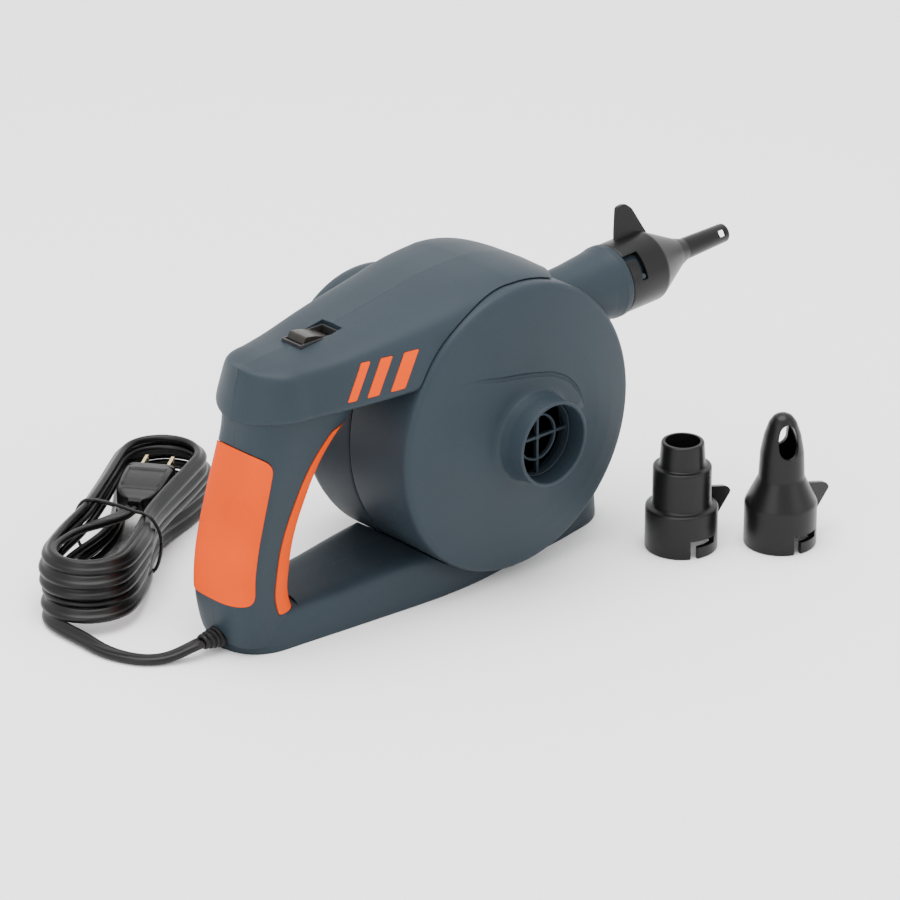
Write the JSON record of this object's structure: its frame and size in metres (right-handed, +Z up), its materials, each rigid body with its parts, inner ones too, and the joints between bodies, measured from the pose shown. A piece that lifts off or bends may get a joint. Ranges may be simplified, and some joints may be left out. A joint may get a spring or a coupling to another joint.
{
  "type": "electric air mattress pump",
  "caption": "Hand-held electric air pump: drum blower in a D-shaped frame with soft grip, rocker switch, side inlet port, bayonet nozzle, mains lead tied in a hank and spare nozzles.",
  "frame": {"origin": "middle of the floor under the pump and its nozzles, the mains lead left out", "axes": "+X from the handle to the outlet nozzle, +Y from the inlet face to the motor cap, +Z up"},
  "size_m": [0.3514, 0.2686, 0.1553],
  "materials": {
    "body_plastic": "fine matt texture, blue-grey",
    "orange_grip": "soft matt orange",
    "black_plastic": "matt black",
    "switch_gloss": "glossy black",
    "nozzle_plastic": "satin black",
    "cord_vinyl": "satin black vinyl",
    "steel": "plain zinc or ground steel",
    "iron": "stacked laminations, oiled",
    "copper": "enamelled copper",
    "brass": "plain brass",
    "carbon": "pressed carbon"
  },
  "bodies": {
    "pump": {"frame_near_half": "body_plastic", "frame_far_half": "body_plastic", "volute_cover": "body_plastic", "motor_shell": "body_plastic", "motor_cap": "body_plastic", "inlet_grille": "body_plastic", "grip_pad_rear": "orange_grip", "grip_pad_front": "orange_grip", "stripe_near_1": "orange_grip", "stripe_near_2": "orange_grip", "stripe_near_3": "orange_grip", "stripe_far_1": "orange_grip", "stripe_far_2": "orange_grip", "stripe_far_3": "orange_grip", "motor_plate": "black_plastic", "motor_bracket": "black_plastic", "switch_body": "black_plastic", "cord_clamp": "black_plastic", "inner_lead": "cord_vinyl", "motor_wire": "cord_vinyl", "strain_relief": "cord_vinyl", "cord_lead": "cord_vinyl", "cord_hank": "cord_vinyl", "cord_tie": "cord_vinyl", "plug_body": "cord_vinyl", "front_bearing": "steel", "rear_bearing": "steel", "frame_screw_1": "steel", "frame_screw_2": "steel", "frame_screw_3": "steel", "frame_screw_4": "steel", "cap_screw_1": "steel", "cap_screw_2": "steel", "cap_screw_3": "steel", "stator_core": "iron", "field_coil_upper": "copper", "field_coil_lower": "copper", "brush_holder_1": "brass", "brush_holder_2": "brass", "switch_terminal_1": "brass", "switch_terminal_2": "brass", "plug_blade_1": "brass", "plug_blade_2": "brass", "brush_1": "carbon", "brush_2": "carbon"},
    "rotor": {"motor_shaft": "steel", "impeller": "black_plastic", "impeller_nut": "steel", "armature_core": "iron", "armature_winding": "copper", "commutator": "copper", "cooling_fan": "black_plastic"},
    "rocker": {"switch_rocker": "switch_gloss"},
    "twist_nozzle": {"narrow_nozzle": "nozzle_plastic"},
    "loose_stepped_nozzle": {"stepped_nozzle": "nozzle_plastic"},
    "loose_valve_nozzle": {"valve_nozzle": "nozzle_plastic"}
  },
  "joints": [
    {"name": "rotor_spin", "type": "hinge", "parent": "pump", "child": "rotor", "pos_m": [0.0002, 0.0168, 0.077], "axis": [0, 1, 0], "continuous": true},
    {"name": "rocker_tilt", "type": "hinge", "parent": "pump", "child": "rocker", "pos_m": [-0.0918, 0.0168, 0.1334], "axis": [0, -1, 0], "range_deg": [0, 26]},
    {"name": "nozzle_twist", "type": "hinge", "parent": "pump", "child": "twist_nozzle", "pos_m": [0.0774, -0.0007, 0.1227], "axis": [0.999, 0, 0.0436], "range_deg": [0, 36]},
    {"name": "stepped_nozzle_lift", "type": "slide", "parent": "pump", "child": "loose_stepped_nozzle", "axis": [0, 0, 1], "range_m": [0, 0.06]},
    {"name": "valve_nozzle_lift", "type": "slide", "parent": "pump", "child": "loose_valve_nozzle", "axis": [0, 0, 1], "range_m": [0, 0.06]}
  ]
}
